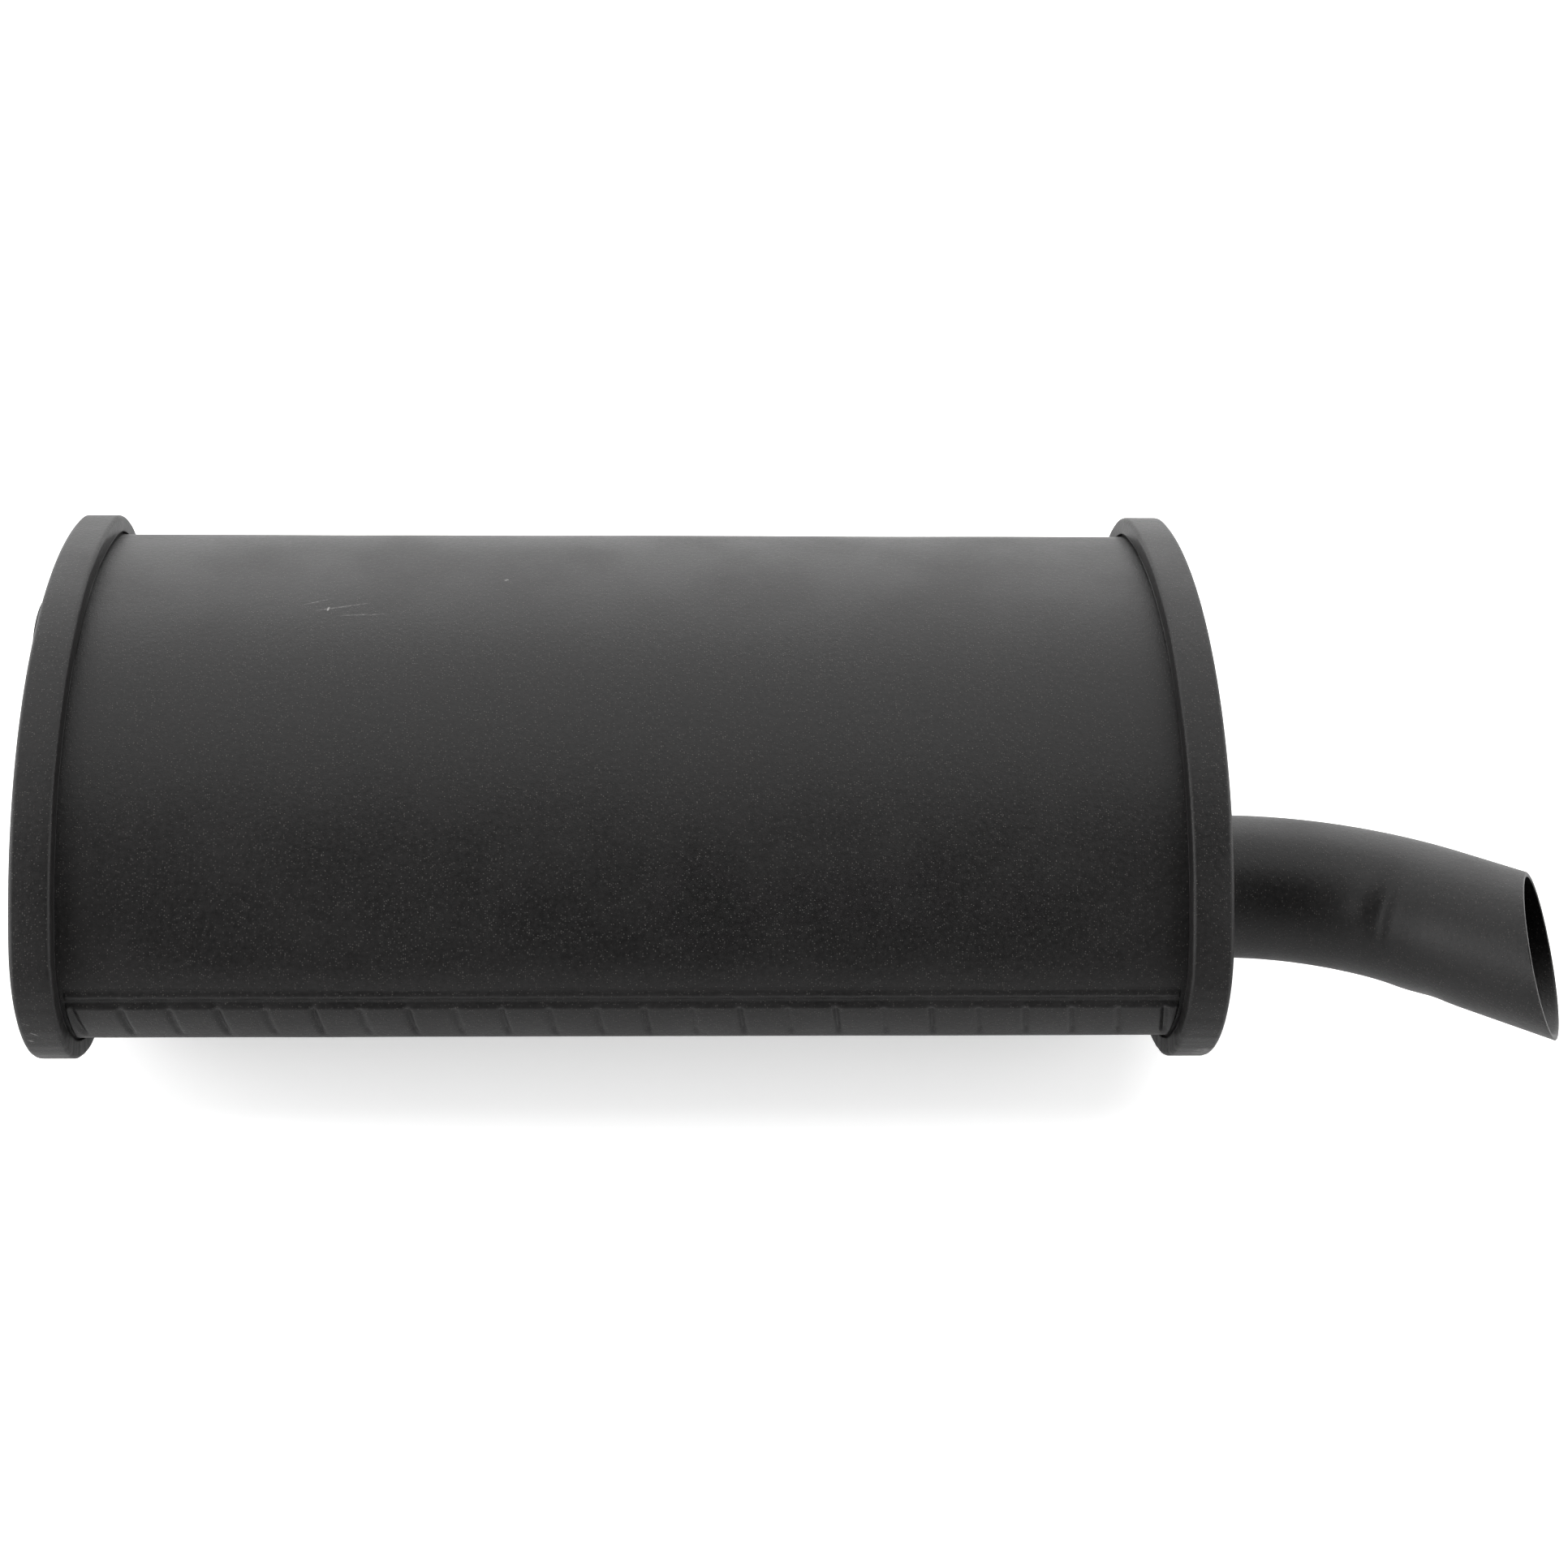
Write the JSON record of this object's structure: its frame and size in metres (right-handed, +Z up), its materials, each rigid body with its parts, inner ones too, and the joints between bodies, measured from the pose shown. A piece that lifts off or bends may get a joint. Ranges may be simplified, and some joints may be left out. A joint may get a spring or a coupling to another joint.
{
  "type": "exhaust silencer",
  "caption": "Oval sheet-steel exhaust silencer with crimped end rims, a staked lock seam, a slip-joint inlet and a bent, slash-cut tail pipe.",
  "frame": {"origin": "centre of the inlet socket's mouth, on its bore axis", "axes": "+X downstream along the body to the tail pipe, +Y along the oval's long way and away from the tail pipe, +Z up along the oval's short way"},
  "size_m": [0.5272, 0.2432, 0.1312],
  "materials": {
    "black_heat_paint": "matt black heat-resistant paint with a fine grain",
    "painted_weld": "matt black paint over a rippled weld bead",
    "aluminised_steel": "dull aluminised sheet steel",
    "glass_wool": "packed glass wool",
    "steel_wool": "matted stainless wool"
  },
  "bodies": {
    "root": {"outer_shell": "black_heat_paint", "inner_shell": "aluminised_steel", "front_end_cap": "black_heat_paint", "rear_end_cap": "black_heat_paint", "baffle_front": "aluminised_steel", "baffle_middle": "aluminised_steel", "baffle_rear": "aluminised_steel", "inlet_socket": "black_heat_paint", "inlet_weld": "painted_weld", "inlet_perforated_tube": "aluminised_steel", "inlet_steel_wool": "steel_wool", "outlet_perforated_tube": "aluminised_steel", "outlet_steel_wool": "steel_wool", "return_tube_upper": "aluminised_steel", "return_tube_lower": "aluminised_steel", "resonator_neck": "aluminised_steel", "wool_packing": "glass_wool", "tail_pipe": "black_heat_paint", "tail_weld": "painted_weld", "front_hanger_saddle": "black_heat_paint", "rear_hanger_saddle": "black_heat_paint", "front_hanger_rod": "black_heat_paint", "rear_hanger_rod": "black_heat_paint", "front_hanger_weld": "painted_weld", "rear_hanger_weld": "painted_weld"}
  },
  "joints": []
}
